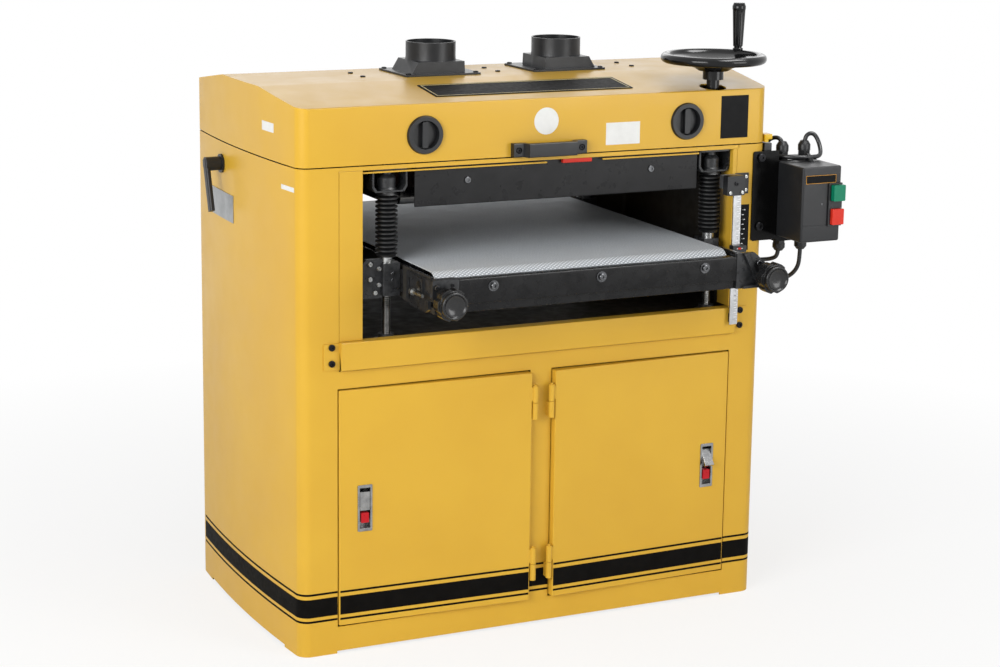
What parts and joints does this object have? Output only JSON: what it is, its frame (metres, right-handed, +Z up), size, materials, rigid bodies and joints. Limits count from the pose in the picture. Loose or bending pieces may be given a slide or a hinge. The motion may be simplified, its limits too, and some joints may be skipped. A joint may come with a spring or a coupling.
{
  "type": "thickness sander",
  "caption": "Wide drum thickness machine: bowed enamelled cabinet with doors, tilting hood with dust ports, conveyor table raised by a handwheel on screws.",
  "frame": {"origin": "middle of the machine's whole footprint box on the floor", "axes": "+X to the right along the front, +Y to the rear, +Z up"},
  "size_m": [1.2066, 0.93, 1.238],
  "materials": {
    "abrasive_belt": "abrasive cloth",
    "black_rubber": "matte",
    "black_steel": "satin black powder coat",
    "blank_label": "printed film, blank",
    "bright_steel": "ground",
    "cast_steel": "black painted casting",
    "dark_screws": "black oxide",
    "green_plastic": "gloss",
    "latch_steel": "satin chrome",
    "machine_grey": "satin enamel",
    "moulded_black": "fine moulded grain",
    "ochre_enamel": "satin powder coat",
    "pvc_cord": "smooth sheath",
    "red_plastic": "gloss",
    "sanding_cloth": "steel drum wrapped in aluminium oxide cloth",
    "scale_steel": "satin with engraved ticks",
    "yellow_enamel": "satin",
    "zinc_screws": "zinc plated"
  },
  "bodies": {
    "cabinet": {"cabinet_shell": "ochre_enamel", "inner_panels": "ochre_enamel", "front_rail": "ochre_enamel", "head_frame": "black_steel", "bearing_blocks": "cast_steel", "guard_plates": "black_steel", "cabinet_screws": "dark_screws", "hinge_posts": "ochre_enamel", "chart_plate": "blank_label", "depth_scale": "scale_steel", "control_base": "machine_grey", "control_cover": "moulded_black", "electrical_fittings": "moulded_black", "cord_top_left": "pvc_cord", "cord_top_right": "pvc_cord", "cord_low_left": "pvc_cord", "cord_low_right": "pvc_cord", "drive_motor": "machine_grey", "drive_belts": "black_rubber", "lift_chain": "dark_screws", "bellows": "black_rubber"},
    "hood": {"hood_shell": "ochre_enamel", "dust_ports": "moulded_black", "hood_screws": "zinc_screws", "hood_handle": "moulded_black", "nameplate": "blank_label", "latch_rings": "moulded_black", "hood_striker": "yellow_enamel"},
    "table": {"conveyor_belt": "abrasive_belt", "table_frame": "black_steel", "table_bolts": "zinc_screws", "table_brackets": "cast_steel", "feed_motor": "machine_grey"},
    "latch_knob_left_body": {"latch_knob_left": "moulded_black"},
    "latch_knob_right_body": {"latch_knob_right": "moulded_black"},
    "handwheel_body": {"handwheel": "cast_steel"},
    "crank_grip_body": {"crank_grip": "moulded_black"},
    "lead_screw_front_left_body": {"lead_screw_front_left": "bright_steel"},
    "lead_screw_front_right_body": {"lead_screw_front_right": "bright_steel"},
    "lead_screw_rear_left_body": {"lead_screw_rear_left": "bright_steel"},
    "lead_screw_rear_right_body": {"lead_screw_rear_right": "bright_steel"},
    "belt_roller_front_body": {"belt_roller_front": "bright_steel"},
    "belt_roller_rear_body": {"belt_roller_rear": "bright_steel"},
    "tracking_knob_left_body": {"tracking_knob_left": "moulded_black"},
    "tracking_knob_right_body": {"tracking_knob_right": "moulded_black"},
    "drum_front_body": {"drum_front": "sanding_cloth"},
    "drum_rear_body": {"drum_rear": "sanding_cloth"},
    "drum_blocks_body": {"drum_blocks": "cast_steel"},
    "side_lever_body": {"side_lever": "moulded_black"},
    "press_roller_front_body": {"press_roller_front": "bright_steel"},
    "press_roller_rear_body": {"press_roller_rear": "bright_steel"},
    "motor_rotor_body": {"motor_rotor": "cast_steel"},
    "door_left_body": {"door_left": "ochre_enamel"},
    "door_right_body": {"door_right": "ochre_enamel"},
    "latch_paddle_left_body": {"latch_paddle_left": "latch_steel"},
    "latch_paddle_right_body": {"latch_paddle_right": "latch_steel"},
    "latch_button_left_body": {"latch_button_left": "red_plastic"},
    "latch_button_right_body": {"latch_button_right": "red_plastic"},
    "start_button_body": {"start_button": "green_plastic"},
    "stop_button_body": {"stop_button": "red_plastic"}
  },
  "joints": [
    {"name": "hood_hinge", "type": "hinge", "parent": "cabinet", "child": "hood", "pos_m": [-0.03725, 0.335, 0.9556], "axis": [-1, 0, 0], "range_deg": [0, 60]},
    {"name": "hood_latch_left", "type": "hinge", "parent": "hood", "child": "latch_knob_left_body", "pos_m": [-0.29075, -0.268, 1.0115], "axis": [0, 1, 0], "range_deg": [0, 90]},
    {"name": "hood_latch_right", "type": "hinge", "parent": "hood", "child": "latch_knob_right_body", "pos_m": [0.28225, -0.268, 1.0115], "axis": [0, 1, 0], "range_deg": [0, 90]},
    {"name": "handwheel_turn", "type": "hinge", "parent": "hood", "child": "handwheel_body", "pos_m": [0.35675, -0.239, 1.133], "axis": [0, 0, 1], "range_deg": [-2160, 8910]},
    {"name": "grip_spin", "type": "hinge", "parent": "handwheel_body", "child": "crank_grip_body", "pos_m": [0.44335, -0.189, 1.15], "axis": [0, 0, 1], "continuous": true},
    {"name": "lead_screw_front_left_turn", "type": "hinge", "parent": "cabinet", "child": "lead_screw_front_left_body", "pos_m": [-0.35725, -0.239, 0.76], "axis": [0, 0, 1], "range_deg": [-2160, 8910]},
    {"name": "lead_screw_front_right_turn", "type": "hinge", "parent": "cabinet", "child": "lead_screw_front_right_body", "pos_m": [0.35675, -0.239, 0.76], "axis": [0, 0, 1], "range_deg": [-2160, 8910]},
    {"name": "lead_screw_rear_left_turn", "type": "hinge", "parent": "cabinet", "child": "lead_screw_rear_left_body", "pos_m": [-0.35725, 0.293, 0.76], "axis": [0, 0, 1], "range_deg": [-2160, 8910]},
    {"name": "lead_screw_rear_right_turn", "type": "hinge", "parent": "cabinet", "child": "lead_screw_rear_right_body", "pos_m": [0.35675, 0.293, 0.76], "axis": [0, 0, 1], "range_deg": [-2160, 8910]},
    {"name": "table_lift", "type": "slide", "parent": "cabinet", "child": "table", "axis": [0, 0, 1], "range_m": [-0.024, 0.099], "deforming": ["bellows"]},
    {"name": "rear_roller_spin", "type": "hinge", "parent": "table", "child": "belt_roller_rear_body", "pos_m": [-0.00025, 0.411, 0.74], "axis": [1, 0, 0], "continuous": true},
    {"name": "front_roller_spin", "type": "hinge", "parent": "table", "child": "belt_roller_front_body", "pos_m": [-0.00025, -0.357, 0.74], "axis": [1, 0, 0], "continuous": true},
    {"name": "tracking_knob_left_turn", "type": "hinge", "parent": "table", "child": "tracking_knob_left_body", "pos_m": [-0.31325, -0.418, 0.719], "axis": [0, -1, 0], "continuous": true},
    {"name": "tracking_knob_right_turn", "type": "hinge", "parent": "table", "child": "tracking_knob_right_body", "pos_m": [0.38475, -0.418, 0.717], "axis": [0, -1, 0], "continuous": true},
    {"name": "front_drum_spin", "type": "hinge", "parent": "cabinet", "child": "drum_front_body", "pos_m": [-0.00025, -0.118, 0.9335], "axis": [1, 0, 0], "continuous": true},
    {"name": "side_lever_turn", "type": "hinge", "parent": "cabinet", "child": "side_lever_body", "pos_m": [-0.56525, 0.137, 0.914], "axis": [1, 0, 0], "range_deg": [0, 90]},
    {"name": "rear_drum_lift", "type": "slide", "parent": "cabinet", "child": "drum_blocks_body", "axis": [0, 0, 1], "range_m": [0, 0.0012]},
    {"name": "rear_drum_spin", "type": "hinge", "parent": "drum_blocks_body", "child": "drum_rear_body", "pos_m": [-0.00025, 0.172, 0.9335], "axis": [1, 0, 0], "continuous": true},
    {"name": "motor_spin", "type": "hinge", "parent": "cabinet", "child": "motor_rotor_body", "pos_m": [-0.46725, 0.027, 0.18], "axis": [1, 0, 0], "continuous": true},
    {"name": "press_roller_front_spin", "type": "hinge", "parent": "cabinet", "child": "press_roller_front_body", "pos_m": [-0.00025, -0.2, 0.885], "axis": [1, 0, 0], "continuous": true},
    {"name": "press_roller_rear_spin", "type": "hinge", "parent": "cabinet", "child": "press_roller_rear_body", "pos_m": [-0.00025, 0.254, 0.885], "axis": [1, 0, 0], "continuous": true},
    {"name": "door_left_swing", "type": "hinge", "parent": "cabinet", "child": "door_left_body", "pos_m": [-0.05325, -0.281, 0.29], "axis": [0, 0, 1], "range_deg": [0, 90]},
    {"name": "door_right_swing", "type": "hinge", "parent": "cabinet", "child": "door_right_body", "pos_m": [-0.01725, -0.281, 0.29], "axis": [0, 0, -1], "range_deg": [0, 90]},
    {"name": "latch_paddle_left_swing", "type": "hinge", "parent": "door_left_body", "child": "latch_paddle_left_body", "pos_m": [-0.41423, -0.26806, 0.312], "axis": [0.9996, -0.0297, 0], "range_deg": [-36, 0]},
    {"name": "latch_button_left_press", "type": "slide", "parent": "door_left_body", "child": "latch_button_left_body", "axis": [0.0297, 0.9996, 0], "range_m": [0, 0.003], "stiffness_N_per_m": 600},
    {"name": "latch_paddle_right_swing", "type": "hinge", "parent": "door_right_body", "child": "latch_paddle_right_body", "pos_m": [0.34973, -0.26788, 0.312], "axis": [0.9996, 0.0297, 0], "range_deg": [0, 36]},
    {"name": "latch_button_right_press", "type": "slide", "parent": "door_right_body", "child": "latch_button_right_body", "axis": [-0.0297, 0.9996, 0], "range_m": [0, 0.003], "stiffness_N_per_m": 600},
    {"name": "start_press", "type": "slide", "parent": "cabinet", "child": "start_button_body", "axis": [0, 1, 0], "range_m": [0, 0.003], "stiffness_N_per_m": 900},
    {"name": "stop_press", "type": "slide", "parent": "cabinet", "child": "stop_button_body", "axis": [0, 1, 0], "range_m": [0, 0.003], "stiffness_N_per_m": 900}
  ],
  "couplings": [
    {"joint": "lead_screw_front_left_turn", "follows": "handwheel_turn", "ratio": 1},
    {"joint": "lead_screw_front_right_turn", "follows": "handwheel_turn", "ratio": 1},
    {"joint": "lead_screw_rear_left_turn", "follows": "handwheel_turn", "ratio": 1},
    {"joint": "lead_screw_rear_right_turn", "follows": "handwheel_turn", "ratio": 1},
    {"joint": "table_lift", "follows": "handwheel_turn", "m_per_rad": 0.00063662},
    {"joint": "front_roller_spin", "follows": "rear_roller_spin", "ratio": 1},
    {"joint": "rear_drum_spin", "follows": "front_drum_spin", "ratio": 1},
    {"joint": "motor_spin", "follows": "front_drum_spin", "ratio": 0.81818},
    {"joint": "side_lever_turn", "follows": "rear_drum_lift", "rad_per_m": 1309}
  ]
}
